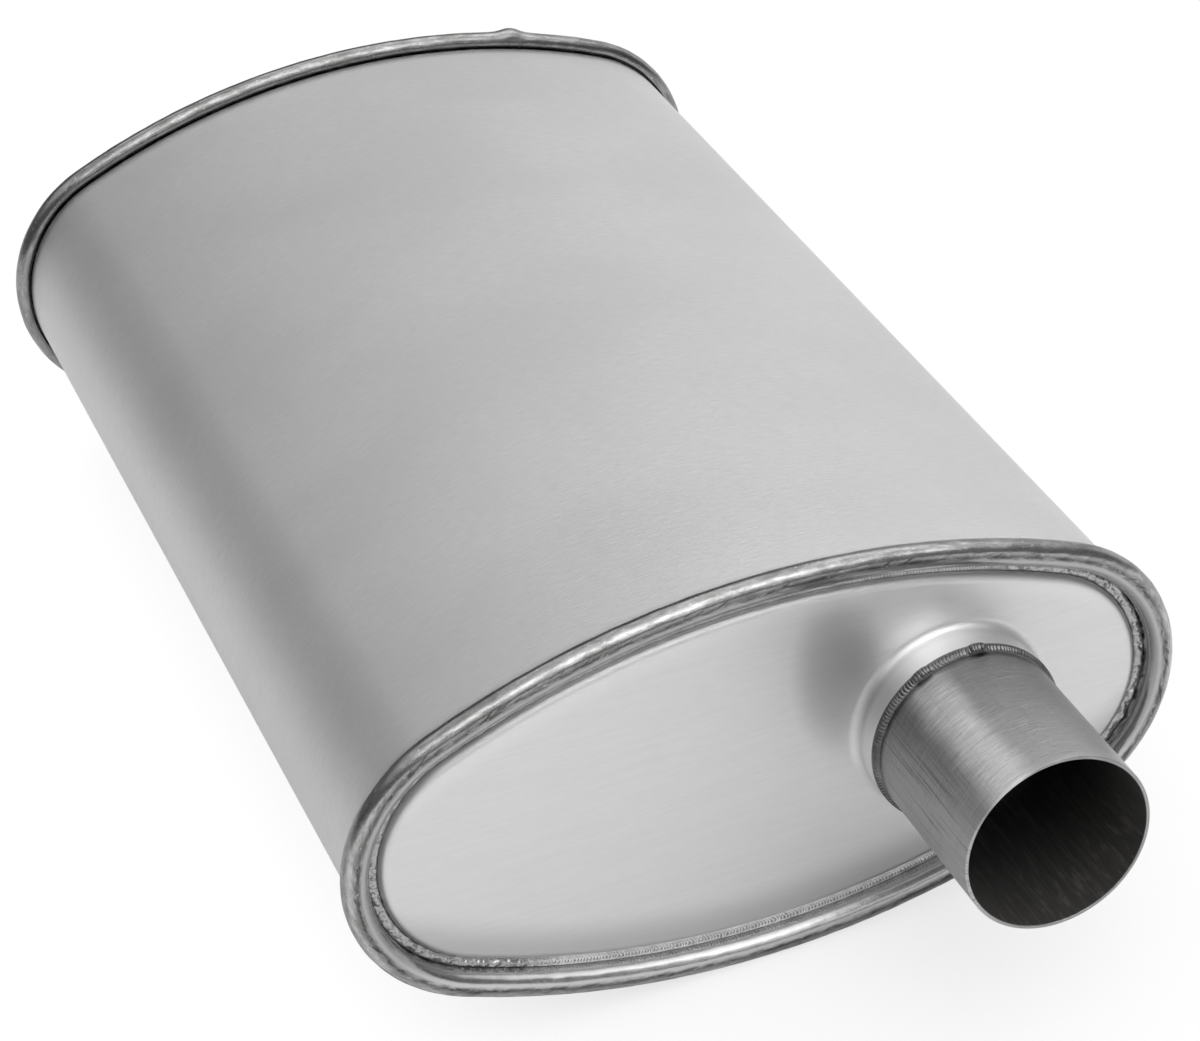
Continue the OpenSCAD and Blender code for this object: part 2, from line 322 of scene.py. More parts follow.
def sweep_tree():
    """Carries a section along a path and lays roller marks, weld ripples and blobs on it."""
    tree = bpy.data.node_groups.new("carried_section", "GeometryNodeTree")
    tree.interface.new_socket("Path", in_out="INPUT", socket_type="NodeSocketGeometry")
    for label, kind in SWEEP_INPUTS.items():
        tree.interface.new_socket(label, in_out="INPUT", socket_type=kind)
    tree.interface.new_socket("Sheet", in_out="OUTPUT", socket_type="NodeSocketGeometry")
    g = Graph(tree)
    given = g.node("NodeGroupInput", output=None)
    want = {socket.name: Term(g, socket) for socket in given.outputs if socket.name}

    def stored(name, kind):
        return g.node("GeometryNodeInputNamedAttribute", {"data_type": kind},
                      {"Name": name}, "Attribute")

    foot, out, rise = (stored(n, "FLOAT_VECTOR") for n in ("foot", "out", "rise"))
    section, facing = (stored(n, "FLOAT_VECTOR") for n in ("section", "facing"))
    along, rough, lump, marked, crown, girth = (
        stored(n, "FLOAT") for n in ("along", "rough", "lump", "marked", "crown", "girth"))

    path = g.node("GeometryNodeMeshToCurve", inputs={"Mesh": want["Path"]})
    shape = g.node("GeometryNodeObjectInfo", inputs={"Object": want["Section"]}, output="Geometry")
    profile = g.node("GeometryNodeMeshToCurve", inputs={"Mesh": shape})
    sheet = g.node("GeometryNodeCurveToMesh",
                   inputs={"Curve": path, "Profile Curve": profile, "Fill Caps": True})

    def across(pair):
        """A direction or place of the section, set upright at the path's point."""
        x, y, _ = g.parts(pair)
        return g.join("ADD", g.join("SCALE", out, x), g.join("SCALE", rise, y))

    sheet = g.node("GeometryNodeSetPosition",
                   inputs={"Geometry": sheet, "Position": g.join("ADD", foot, across(section))})

    seed = want["Seed"]
    marks_at = g.vector(along / want["Mark Length"], girth / want["Mark Width"], seed)
    marks = (g.noise(marks_at, 1.0, 2.0) - 0.5) * want["Mark Depth"] * marked

    wander = g.noise(g.vector(along / (want["Ripple Pitch"] * 4.0), seed, 0.0), 1.0, 2.0)
    phase = along + want["Ripple Bow"] * (1.0 - crown) + wander * want["Ripple Pitch"] * 2.0
    step = (phase / want["Ripple Pitch"]).math("FRACT")
    scallop = (1.0 - step) ** 1.6 - 0.4
    scale = scallop * crown * (1.0 - rough * 0.85)
    ripples = scale * want["Ripple Height"]

    blobs_at = g.vector(along / want["Blob Size"], girth / want["Blob Size"], seed + 7.0)
    blobs = (g.noise(blobs_at, 1.0, 2.0, 0.5) - 0.45) * want["Blob Height"] * rough * crown

    height = marks + ripples + blobs + lump * crown
    sheet = g.node("GeometryNodeSetPosition",
                   inputs={"Geometry": sheet, "Offset": g.join("SCALE", across(facing), height)})
    sheet = g.node("GeometryNodeStoreNamedAttribute", {"data_type": "FLOAT", "domain": "POINT"},
                   {"Geometry": sheet, "Name": "scale", "Value": scale})
    sheet = g.node("GeometryNodeRealizeInstances", inputs={"Geometry": sheet})
    sheet = g.node("GeometryNodeSetMaterial", inputs={"Geometry": sheet, "Material": want["Finish"]})
    g.node("NodeGroupOutput", inputs={"Sheet": sheet}, output=None)
    return tree


def sweep(name, tree, path, section, length, **sizes):
    """Runs the sweep and returns it as a plain mesh with an unrolled map in metres."""
    modifier = path.modifiers.new("sweep", "NODES")
    modifier.node_group = tree
    keys = {item.name: item.identifier for item in tree.interface.items_tree if item.in_out == "INPUT"}
    values = {"Section": section, "Mark Length": 0.01, "Mark Width": 0.002, "Ripple Pitch": 0.001,
              "Blob Size": 0.002, **sizes}
    for label, value in values.items():
        modifier[keys[label]] = value
    bpy.context.view_layer.update()
    settled = path.evaluated_get(bpy.context.evaluated_depsgraph_get())
    mesh = bpy.data.meshes.new_from_object(settled)
    mesh.name = name
    path.modifiers.clear()
    for used in (path, section):
        bpy.data.objects.remove(used)
    unroll(mesh, length)
    finish_mesh(mesh)
    return add_object(name, mesh)


def unroll(mesh, length):
    """A map from the stored along and girth, carried on past the seam of a closed sheet."""
    count = len(mesh.vertices)
    values = np.zeros((count, 2))
    for column, key in enumerate(("along", "girth")):
        layer = np.zeros(count)
        mesh.attributes[key].data.foreach_get("value", layer)
        values[:, column] = layer
    corners = np.zeros(len(mesh.loops), int)
    mesh.loops.foreach_get("vertex_index", corners)
    places = values[corners]
    starts = np.zeros(len(mesh.polygons), int)
    mesh.polygons.foreach_get("loop_start", starts)
    totals = np.zeros(len(mesh.polygons), int)
    mesh.polygons.foreach_get("loop_total", totals)
    owner = np.repeat(np.arange(len(starts)), totals)
    highest = np.full(len(starts), -1e9)
    np.maximum.at(highest, owner, places[:, 0])
    wrapped = highest[owner] - places[:, 0] > length * MM / 2
    places[wrapped, 0] += length * MM
    layer = mesh.uv_layers.new(name="unrolled")
    layer.data.foreach_set("uv", places.ravel())


def finish_mesh(mesh):
    """Turns every face outward and shades it smooth."""
    work = bmesh.new()
    work.from_mesh(mesh)
    bmesh.ops.recalc_face_normals(work, faces=work.faces)
    work.to_mesh(mesh)
    work.free()
    mesh.polygons.foreach_set("use_smooth", [True] * len(mesh.polygons))
    mesh.update()


def grid_mesh(name, points, maps=None):
    """A sheet closed both ways, from points[i][j] in metres, with an optional unrolled map."""
    rows, columns, _ = points.shape
    index = np.arange(rows * columns).reshape(rows, columns)
    next_row, next_column = np.roll(index, -1, 0), np.roll(index, -1, 1)
    both = np.roll(next_row, -1, 1)
    faces = np.stack([index, next_column, both, next_row], -1).reshape(-1, 4)
    mesh = bpy.data.meshes.new(name)
    mesh.from_pydata(points.reshape(-1, 3).tolist(), [], faces.tolist())
    if maps is not None:
        u, v, turn = maps
        for key, values in (("along", u), ("girth", v)):
            layer = mesh.attributes.new(key, "FLOAT", "POINT")
            layer.data.foreach_set("value", np.broadcast_to(values, (rows, columns)).ravel())
        unroll(mesh, turn)
    finish_mesh(mesh)
    return add_object(name, mesh)


def hand_over(piece, node):
    """Rides the piece on the case and lets it stand for its CAD node."""
    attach(piece, "root")
    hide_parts(node)


# Finishes

def new_finish(name):
    """A material with its shader, ready for a surface."""
    material = bpy.data.materials.new(name)
    g = blank_graph(material)
    shader = g.node("ShaderNodeBsdfPrincipled", output=None)
    g.node("ShaderNodeOutputMaterial", inputs={"Surface": Term(g, shader.outputs[0])}, output=None)
    return material, g, shader


def set_shader(g, shader, colour, roughness, height=None, depth=0.0, metallic=1.0):
    """Feeds the shader its colour, its gloss and the relief, with depth in metres."""
    g.feed(shader, {"Base Color": colour, "Roughness": roughness, "Metallic": metallic})
    if height is not None:
        bump = g.node("ShaderNodeBump", inputs={"Strength": 1.0, "Distance": depth, "Height": height},
                      output="Normal")
        g.feed(shader, {"Normal": bump})


def unrolled(g):
    """Along and across the sheet in millimetres, from its own map."""
    u, v, _ = g.parts(g.node("ShaderNodeUVMap", {"uv_map": "unrolled"}, output="UV"))
    return u / MM, v / MM


def object_place(g):
    """Object coordinates in millimetres."""
    place = g.node("ShaderNodeTexCoord", output="Object")
    return g.parts(g.join("SCALE", place, 1 / MM))


def shell_finish(crest, wall_end, slot_end):
    """Satin sheet with a grain round the case, and rolled seams that are polished and stained, with
    painted highlights and painted shade on the rolls, in the slot and beside them.
    """
    material, g, shader = new_finish("case_steel")
    u, v = unrolled(g)
    _, y, z = object_place(g)
    bottom, rear = z.ramp(AXIS_H - 25.0, AXIS_H - 50.0), y.ramp(-10.0, 10.0)
    grain = g.noise(g.vector(u / 6.0, v / 0.35, 0.0), 1.0, 2.0, 0.7)
    lines = g.noise(g.vector(u / 40.0, v / 1.3, 3.0), 1.0, 3.0, 0.6)
    clouds = g.noise(g.vector(u / 90.0, v / 70.0, 5.0), 1.0, 2.0)
    rolled = v.abs().ramp(wall_end - 0.3, wall_end + 0.3)
    # slot: painted shade in the slot behind the roll and on the wall's edge beside it
    slot = v.abs().ramp(wall_end - 0.5, wall_end) * v.abs().ramp(slot_end + 0.3, slot_end)
    off_crest = v.abs() - crest
    blotch = g.noise(g.vector(u / 6.0, v / 1.8, 9.0), 1.0, 4.0, 0.65)
    flakes = g.noise(g.vector(u / 2.2, v / 1.5, 19.0), 1.0, 3.0, 0.6)
    strokes = g.noise(g.vector(u / 2.6 + v / 1.1, v / 3.0, 14.0), 1.0, 3.0, 0.6)
    fine = g.noise(g.vector(u / 1.6, v / 0.8, 2.0), 1.0, 4.0, 0.7)
    outer = off_crest.ramp(0.4, -0.8)
    burn = g.noise(g.vector(u / 15.0, v / 5.0, 21.0), 1.0, 3.0, 0.6)
    # darkening: heat tint in patches on the roll
    darkening = burn.ramp(0.42, 0.58) * (0.4 + rear * 0.1)
    heat = outer * (0.25 - rear * 0.1 + darkening + blotch.ramp(0.38, 0.6) * 0.5)
    crease = off_crest.bump_at(-0.3, 1.5) * blotch.ramp(0.6, 0.42)
    stroke = strokes.ramp(0.55, 0.66) * off_crest.bump_at(-1.5, 2.4)
    # toe: painted shade on the skirt's deep end, in the corner where it meets the weld bead
    toe = off_crest.ramp(8.2, 9.6)
    speck = fine.ramp(0.6, 0.74) * (1.0 - outer)
    # Heat tint, crease blotches, strokes and specks are stains; the toe's share is painted shade
    stain_and_shade = (heat * 0.55 + crease * 0.7 + stroke * 0.5 + toe * 0.5 + speck * 0.3).clamp()
    light = (flakes.ramp(0.58, 0.68) * off_crest.bump_at(-0.9, 1.6)
             + flakes.ramp(0.64, 0.68) * off_crest.ramp(-2.0, -4.0)).clamp()
    brushed = g.noise(g.vector(u / 6.0, v / 0.8, 6.0), 1.0, 4.0, 0.8)
    wall = g.blend(clouds.ramp(0.3, 0.7), grey(0.63), grey(0.675))
    wall = g.blend(brushed.ramp(0.66, 0.34) * 0.4, wall, grey(0.52))
    # near: the wall darker in blotches just beside the seams, more at the rear: painted shade beside the
    # roll, broken up by smudges
    near = v.abs().ramp(wall_end - 6.0, wall_end - 0.5) * (blotch.ramp(0.25, 0.55) + rear * 0.3)
    wall = g.blend(near * 0.7, wall, grey(0.26))
    # Painted highlights: bright bands along the roll on both sides of its crest, stronger towards the
    # bottom
    painted_highlight = off_crest.bump_at(1.2, 1.3) * (0.3 + bottom * 0.25) + off_crest.bump_at(-3.2, 2.2) * 0.8
    # skirt: the roll's inner side, painted lighter towards the bottom, where it faces up, and darker
    # towards the top
    skirt = g.blend(bottom, grey(0.34), grey(0.56))
    roll = g.blend(painted_highlight.clamp(), g.blend(outer, skirt, grey(0.38)), grey(0.75))
    roll = g.blend(stain_and_shade, roll, grey(0.08, 0.04))
    roll = g.blend(light * 0.6, roll, grey(0.55))
    colour = g.blend(rolled, wall, roll)
    # Painted shade: the slot goes near black, in blotches
    colour = g.blend(slot * (0.5 + blotch.ramp(0.6, 0.4) * 0.45), colour, grey(0.03))
    roughness = (0.5 + (lines - 0.5) * 0.06) * (1.0 - rolled) \
        + (0.18 + bottom * 0.06 + stain_and_shade * 0.16 + (fine - 0.5) * 0.15) * rolled
    height = grain * (1.0 - rolled) + fine * rolled * 0.3
    set_shader(g, shader, colour, roughness, height, 0.00012)
    return material


def head_finish():
    """Pressed sheet, matt, with its grain along the oval, and painted light and shade on its edges, on
    the neck's wall, on its turned shoulder and in patches beside the inlet neck.
    """
    material, g, shader = new_finish("head_steel")
    x, y, z = object_place(g)
    grain = g.noise(g.vector(x / 7.0, y / 0.4, z / 0.4), 1.0, 2.0, 0.7)
    lines = g.noise(g.vector(x / 30.0, y / 1.2, z / 1.2), 1.0, 3.0, 0.6)
    side, up = x - INLET_X, z - AXIS_H
    from_bottom = TOP_R - (x * x + (up - ARC_Z) * (up - ARC_Z)) ** 0.5 - PLATE_IN
    from_top = TOP_R - (x * x + (up + ARC_Z) * (up + ARC_Z)) ** 0.5 - PLATE_IN
    # low: painted shade along the plate's lower edge; high: painted light along its upper edge
    low, high = from_bottom.ramp(15.0, 0.5), from_top.ramp(7.0, 1.0)
    # shade and gleam: a painted dark reflection and a painted light one on the plate beside the inlet
    # neck
    across, tall = (side + 38.0) / 13.0, (up - 29.0) / 26.0
    shade = (across * across + tall * tall).ramp(1.9, 0.0) * y.ramp(0.0, -1.0)
    beside, above = (side + 13.0) / 12.0, (up - 42.0) / 13.0
    gleam = (beside * beside + above * above).ramp(1.5, 0.0) * y.ramp(0.0, -1.0)
    # neck: painted light on the neck's wall
    neck = (y.abs() - SEAM_Y).ramp(2.0, 6.0)
    colour = g.blend(lines.ramp(0.35, 0.65), grey(0.74), grey(0.76))
    colour = g.blend((grain - 0.5).abs() * 0.5, colour, grey(0.58))
    # Painted shade: the plate's lower edge and the dark patch beside the inlet neck
    colour = g.blend(low * 0.5 + shade * 0.5, colour, grey(0.33))
    # Painted light: the light patch beside the inlet neck, the neck's wall and the plate's upper edge
    colour = g.blend((gleam * 0.6 + neck * 0.7 + high * 0.35).clamp(), colour, grey(0.86))
    sunk = SEAM_Y - y.abs()
    turned = sunk.ramp(0.3, 1.0) * sunk.ramp(3.8, 3.0)
    bottom = z.ramp(AXIS_H - 20.0, AXIS_H - 42.0)
    # The turned shoulder: a painted highlight along the bottom and painted shade elsewhere
    colour = g.blend(turned * bottom, colour, grey(0.85))
    colour = g.blend(turned * (1.0 - bottom) * 0.4, colour, grey(0.28))
    roughness = 0.44 + (grain - 0.5) * 0.1 - turned * bottom * 0.16
    set_shader(g, shader, colour, roughness, grain, 0.00009)
    return material


def pipe_finish():
    """Drawn tube: sanding scratches round it, dark drawing lines along it, and a painted highlight and
    painted shade in bands along it.
    """
    material, g, shader = new_finish("pipe_steel")
    u, v = unrolled(g)
    sanded = g.noise(g.vector(u / 16.0 + v / 30.0, v / 0.25, 1.0), 1.0, 3.0, 0.75)
    scratch = g.noise(g.vector(u / 30.0 - v / 25.0, v / 0.5, 2.0), 1.0, 2.0, 0.6)
    drawn = g.noise(g.vector(u / 0.8, v / 50.0, 4.0), 1.0, 3.0, 0.6)
    wander = g.noise(g.vector(u / 12.0, v / 20.0, 7.0), 1.0, 2.0)
    turn, height = u + (wander - 0.5) * 7.0, v - (MAP_START + PIPE_TAIL)
    # lower: painted light in a broad band along the pipe's left side
    lower = (turn - 150.0).abs().ramp(30.0, 12.0)
    # bright: a painted highlight in a band along the pipe, broken up by rubbing marks
    bright = (turn - 116.5).abs().ramp(11.0, 2.0)
    # darkening: a painted dark band along the pipe, painted shade beside the highlight
    darkening = (turn - 130.0).abs().ramp(10.0, 3.0)
    rubbed = g.noise(g.vector(u / 12.0 + v / 30.0, v / 0.55, 11.0), 1.0, 3.0, 0.8)
    level = 0.27 + bright * (0.34 + (rubbed - 0.5) * 0.9) + (rubbed - 0.5) * 0.2
    level = level + lower * 0.12 - darkening * 0.05 + height.ramp(28.0, 76.0) * 0.1
    colour = g.vector(level, level, level)
    colour = g.blend(drawn.ramp(0.5, 0.68) * (lower * 0.6 + 0.1), colour, grey(0.12, 0.03))
    colour = g.blend(scratch.ramp(0.6, 0.7) * 0.35, colour, grey(0.6))
    roughness = 0.3 + (sanded - 0.5) * 0.2
    relief = sanded + drawn * lower * 0.3
    set_shader(g, shader, colour, roughness, relief, 0.0002)
    return material


def bore_finish():
    """The dark, oxidised inside of a pipe, with faint drawing lines, and painted light near the mouth
    that fades to painted shade deeper in.
    """
    material, g, shader = new_finish("pipe_bore")
    u, v = unrolled(g)
    drawn = g.noise(g.vector(u / 1.2, v / 30.0, 4.0), 1.0, 3.0, 0.6)
    stain = g.noise(g.vector(u / 2.5, v / 16.0, 5.0), 1.0, 4.0, 0.7)
    # Painted light near the mouth, in stained patches, fading to painted shade deeper in
    light_near_mouth = v.ramp(110.0, 64.0)
    colour = g.blend(drawn.ramp(0.45, 0.75), grey(0.055), grey(0.11, 0.03))
    colour = g.blend(light_near_mouth * (0.25 + stain.ramp(0.5, 0.68) * 0.5), colour, grey(0.24, 0.05))
    set_shader(g, shader, colour, 0.5 + (drawn - 0.5) * 0.2, drawn, 0.00006, 0.6)
    return material


def weld_finish(name, dark, bright):
    """Weld metal: bright crests, dull and darker in the troughs, as painted highlights and painted shade
    along the ripples.
    """
    material, g, shader = new_finish(name)
    x, y, z = object_place(g)
    coarse = g.noise(g.vector(x / 6.0, y / 6.0, z / 6.0), 1.0, 2.0, 0.5)
    fine = g.noise(g.vector(x / 0.6, y / 0.6, z / 0.6), 1.0, 2.0, 0.6)
    colour = g.blend(coarse.ramp(0.35, 0.68), grey(dark, 0.01), grey(bright))
    scale = g.node("ShaderNodeAttribute", {"attribute_name": "scale"}, output="Fac")
    rough = g.node("ShaderNodeAttribute", {"attribute_name": "rough"}, output="Fac")
    colour = g.blend(rough * 0.75, colour, grey(dark * 0.52))
    colour = g.blend(fine.ramp(0.6, 0.8) * 0.35, colour, grey(dark * 0.5))
    # Painted shade in the ripple troughs
    colour = g.blend(scale.ramp(-0.1, -0.34) * 0.85, colour, grey(dark * 0.22))
    # Painted highlights on the ripple crests
    colour = g.blend(scale.ramp(0.2, 0.5) * 0.7, colour, grey(min(0.95, bright * 1.35)))
    roughness = 0.3 + (fine - 0.5) * 0.12 + (coarse - 0.5) * 0.08
    set_shader(g, shader, colour, roughness, fine, 0.00004)
    return material


def inner_finish():
    """Unpolished sheet of the baffles and tubes."""
    material, g, shader = new_finish("inner_steel")
    x, y, z = object_place(g)
    mottled = g.noise(g.vector(x / 9.0, y / 9.0, z / 9.0), 1.0, 4.0, 0.6)
    grain = g.noise(g.vector(x / 1.0, y / 30.0, z / 1.0), 1.0, 2.0)
    colour = g.blend(mottled.ramp(0.3, 0.7), grey(0.42), grey(0.52))
    set_shader(g, shader, colour, 0.42 + (mottled - 0.5) * 0.2, grain, 0.00005)
    return material


def fibre_finish():
    """Matt mineral fibre with strands running through it."""
    material, g, shader = new_finish("fibre")
    x, y, z = object_place(g)
    strands = g.noise(g.vector(x / 1.2, y / 9.0, z / 1.2), 1.0, 4.0, 0.7)
    tufts = g.noise(g.vector(x / 16.0, y / 16.0, z / 16.0), 1.0, 3.0)
    colour = g.blend(tufts.ramp(0.3, 0.7), (0.66, 0.61, 0.44, 1.0), (0.78, 0.74, 0.58, 1.0))
    colour = g.blend(strands.ramp(0.55, 0.75) * 0.6, colour, (0.5, 0.45, 0.3, 1.0))
    set_shader(g, shader, colour, 0.95, strands, 0.0008, 0.0)
    return material


# Pieces

def shell_section():
    """The shell's sheet in section, out of the wall and along the case, at the inlet end."""
    outside = chain(
        line((-SKIRT_IN, -SKIRT_L), (-SKIRT_IN, 0), 4),
        arc((ROLL_IN, 0), ROLL_R, 180, 90, 12),
        line((ROLL_IN, ROLL_R), (ROLL_OUT, ROLL_R), 3),
        arc((ROLL_OUT, 0), ROLL_R, 90, -90, 24),
        line((ROLL_OUT, -ROLL_R), (SLOT_W, -ROLL_R), 1),
        line((SLOT_W, -ROLL_R), (SLOT_W, SLOT_D - ROLL_R), 2),
        line((0, SLOT_D - ROLL_R), (0, -WALL_FROM), 3))
    bend = 1.0
    inside = chain(
        [(-SHELL_T, -ROLL_R + SHELL_T - bend)],
        arc((-SHELL_T + bend, -ROLL_R + SHELL_T - bend), bend, 180, 90, 3),
        arc((ROLL_OUT, 0), ROLL_R - SHELL_T, -90, 90, 10),
        arc((ROLL_IN, 0), ROLL_R - SHELL_T, 90, 180, 6),
        [(-SKIRT_IN + SHELL_T, -SKIRT_L)])
    return outside, inside


def make_case(tree):
    outside, inside = shell_section()
    out_in = outside * (1, -1) + (0, -SEAM_Y)
    wall = line(out_in[-1], out_in[-1] * (1, -1), 36)
    out_far = (out_in * (1, -1))[::-1]
    in_far = (inside + (0, SEAM_Y))[::-1]
    back = line(in_far[-1], in_far[-1] * (1, -1), 8)
    in_near = inside * (1, -1) + (0, -SEAM_Y)
    points = chain(out_in, wall, out_far, in_far, back, in_near)
    girth = girth_of(points)
    middle = np.argmin(np.abs(points[:, 1]) + 1e3 * (np.abs(points[:, 0]) > 0.1))
    girth -= girth[middle]
    top = np.argmin(np.hypot(points[:, 0] - (ROLL_IN + ROLL_OUT) / 2, points[:, 1] - SEAM_Y - ROLL_R))
    edge = np.argmin(np.hypot(points[:, 0], points[:, 1] - SEAM_Y + WALL_FROM))
    crest, wall_end = float(girth[top]), float(girth[edge])
    slot_end = float(girth[np.argmin(np.hypot(points[:, 0] - SLOT_W, points[:, 1] - SEAM_Y + ROLL_R))])
    visible = np.zeros(len(points))
    visible[:len(out_in) + len(wall) + len(out_far) - 2] = 1
    marked = visible * np.clip((np.abs(girth) - wall_end) / 2.0, 0, 1)
    marked *= np.clip((crest + 9 - np.abs(girth)) / 3.0, 0, 1)
    far_roll = np.clip(1.4 - np.abs(np.abs(girth) - crest + 3.5) / 5.0, 0, 1)
    far_roll *= visible * (points[:, 1] > 0)
    section = section_of("case_section", points, marked, far_roll, girth)
    places, way, length = round_oval(OVAL_STEPS, 0.0, 1)
    at_lap = np.exp(-(((places[:, 0] - LAP_X) / LAP_WIDTH) ** 2)) * (places[:, 1] > 0)
    path = path_of("case_path", *way, lump=at_lap * LAP_SIZE * MM)
    made = sweep("shell", tree, path, section, length, **{
        "Finish": shell_finish(crest, wall_end, slot_end), "Seed": 4.0,
        "Mark Depth": 0.00035, "Mark Length": 0.007, "Mark Width": 0.004})
    hand_over(made, "shell")


def head_grid(pipe_x):
    """Points of the pressed head, from the neck's lip to the rolled edge and back inside."""
    curl, flange = ROLL_R - SHELL_T - FOLD_GAP, SKIRT_IN - SHELL_T - FOLD_GAP
    foot = NECK_R + HEAD_T + NECK_FILLET
    neck_out = chain(
        arc((NECK_R + EDGE_R, NECK_H - EDGE_R), EDGE_R, 180, 90, 2),
        arc((NECK_R + HEAD_T - EDGE_R, NECK_H - EDGE_R), EDGE_R, 90, 0, 3),
        line((NECK_R + HEAD_T, NECK_H - EDGE_R), (NECK_R + HEAD_T, NECK_FILLET), 5),
        arc((foot, NECK_FILLET), NECK_FILLET, 180, 270, 14))
    neck_in = chain(arc((foot, NECK_FILLET), NECK_FILLET + HEAD_T, 270, 180, 8),
                    line((NECK_R, NECK_FILLET), (NECK_R, NECK_H - EDGE_R), 3)[:-1])
    edge_out = chain(
        arc((-PLATE_IN, -SHOULDER_R), SHOULDER_R, 90, 0, 12),
        line((-GROOVE_IN, -SHOULDER_R), (-GROOVE_IN, -GROOVE_D), 2),
        line((-GROOVE_IN, -GROOVE_D), (-flange, -GROOVE_D), 4),
        line((-flange, -GROOVE_D), (-flange, 0), 3),
        arc((ROLL_IN, 0), curl, 180, 90, 5),
        arc((ROLL_OUT, 0), curl, 90, -90, 8))
    edge_in = chain(
        arc((ROLL_OUT, 0), curl - HEAD_T, -90, 90, 6),
        arc((ROLL_IN, 0), curl - HEAD_T, 90, 180, 4),
        line((-flange + HEAD_T, 0), (-flange + HEAD_T, -GROOVE_D - HEAD_T), 2),
        line((-flange + HEAD_T, -GROOVE_D - HEAD_T), (-GROOVE_IN - HEAD_T, -GROOVE_D - HEAD_T), 3),
        line((-GROOVE_IN - HEAD_T, -GROOVE_D - HEAD_T), (-GROOVE_IN - HEAD_T, -SHOULDER_R), 1),
        arc((-PLATE_IN, -SHOULDER_R), SHOULDER_R - HEAD_T, 0, 90, 5))
    places, normals, _, _ = outline(OVAL_STEPS)
    rim = places - normals * PLATE_IN
    ray = rim - (pipe_x, 0)
    reach = np.linalg.norm(ray, axis=1, keepdims=True)
    ray = ray / reach
    rows = []

    def add_row(flat, h):
        rows.append(np.column_stack([flat[:, 0], np.full(len(flat), h), flat[:, 1]]))

    def from_pipe(rho, h):
        add_row(np.array((pipe_x, 0)) + ray * rho, h)

    def plate(steps, h, order):
        for t in np.linspace(0, 1, steps + 1)[1:-1][::order]:
            from_pipe(foot + (reach - foot) * t, h)

    for rho, h in neck_out:
        from_pipe(rho, h)
    plate(24, 0.0, 1)
    for r, h in (*edge_out, *edge_in):
        add_row(places + normals * r, h)
    plate(6, -HEAD_T, -1)
    for rho, h in neck_in:
        from_pipe(rho, h)
    return np.array(rows)


def to_case(points, end):
    """Places points of x, height out of the seam's plane and z at the inlet (-1) or outlet (1) end."""
    placed = points.copy()
    placed[..., 1] = end * (SEAM_Y + points[..., 1])
    placed[..., 2] = points[..., 2] + AXIS_H
    return placed * MM


def make_head(name, pipe_x, end, finish):
    made = grid_mesh(name, to_case(head_grid(pipe_x), end))
    made.data.materials.append(finish)
    hand_over(made, name)


def make_head_weld(tree, name, end, finish):
    half_w = (GROOVE_IN - SKIRT_IN) / 2
    centre = (-SKIRT_IN - half_w, -GROOVE_D - HEAD_BEAD_SINK)
    half = math.degrees(math.asin(half_w / BEAD_R))
    top = arc(centre, BEAD_R, 90 - half, 90 + half, 18)
    section = bead_of(name, top, line((-GROOVE_IN, -GROOVE_D), (-SKIRT_IN, -GROOVE_D), 2), 0.7)
    places, way, length = round_oval(HEAD_BEAD_STEPS, end * SEAM_Y, end)
    rough_from, rough_full = 78, 92
    rough = np.clip((np.abs(places[:, 0]) - rough_from) / (rough_full - rough_from), 0, 1)
    path = path_of(name + "_path", *way, rough=rough)
    made = sweep(name, tree, path, section, length, **{
        "Finish": finish, "Seed": 11.0 + end, "Ripple Height": 0.00045, "Ripple Pitch": 0.00115,
        "Ripple Bow": 0.0014, "Blob Height": 0.0028, "Blob Size": 0.0036})
    hand_over(made, name)


def turns(count):
    """Angles round a pipe, from its lowest line."""
    return np.linspace(0, 2 * math.pi, count, endpoint=False) - math.pi / 2


def make_pipe_weld(tree, name, pipe_x, end, finish):
    low = math.degrees(math.asin(-PIPE_BEAD_SINK / BEAD_R))
    top = arc((-PIPE_BEAD_SINK, NECK_H + PIPE_BEAD_SINK), BEAD_R, low, 90 + low, 14)
    section = bead_of(name, top, [(-0.03, NECK_H + 1.4), (-0.03, NECK_H), (0.9, NECK_H - 0.02)], 0.7)
    count, turn = PIPE_BEAD_STEPS, turns(PIPE_BEAD_STEPS)
    out = np.stack([np.cos(turn), np.zeros(count), np.sin(turn)], 1)
    foot = (out * SEAT_R + (pipe_x, end * SEAM_Y, AXIS_H)) * MM
    rise = np.tile([0.0, float(end), 0.0], (count, 1))
    length = 2 * math.pi * SEAT_R
    along = np.arange(count) / count * length

    def off(place):
        """How far round the pipe from a place, in degrees."""
        return (np.degrees(turn) % 360 - place + 180) % 360 - 180

    lump, lump_width = np.zeros(count), 5.0
    for place, size in ((82, 1.7), (117.5, 1.5)):
        lump += size * np.exp(-(off(place) / lump_width) ** 4)
    rough_at, rough_width = 170, 22
    rough = np.clip(1 - np.abs(off(rough_at)) / rough_width, 0, 1) * 0.8
    path = path_of(name + "_path", foot, out, rise, along * MM, rough=rough, lump=lump * MM)
    made = sweep(name, tree, path, section, length, **{
        "Finish": finish, "Seed": 23.0 + end, "Ripple Height": 0.0003, "Ripple Pitch": 0.00115,
        "Ripple Bow": 0.0009, "Blob Height": 0.0012, "Blob Size": 0.002})
    hand_over(made, name)


